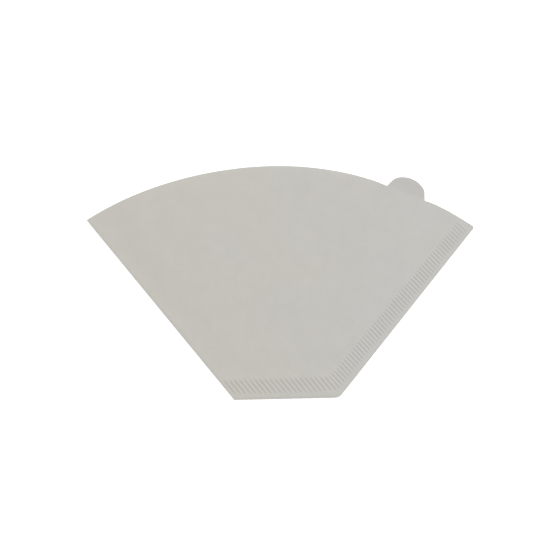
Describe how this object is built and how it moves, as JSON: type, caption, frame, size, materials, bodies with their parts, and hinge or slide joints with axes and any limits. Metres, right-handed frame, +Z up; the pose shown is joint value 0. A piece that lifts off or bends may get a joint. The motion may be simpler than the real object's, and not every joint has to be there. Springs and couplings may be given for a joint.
{
  "type": "paper coffee filter",
  "caption": "Flat fan-shaped paper filter folded from one sheet, with crimped side and base seams, an open curved mouth and a lift tab.",
  "frame": {"origin": "middle of the filter's box, on the surface that it lies on", "axes": "+X across the filter from the fold to the side seam, +Y from the base seam to the mouth, +Z up through the paper"},
  "size_m": [0.1738, 0.105, 0.0015],
  "materials": {
    "filter_paper": "matt unglazed filter paper, off-white, with fine fibres"
  },
  "bodies": {
    "root": {"filter_paper": "filter_paper"}
  },
  "joints": []
}
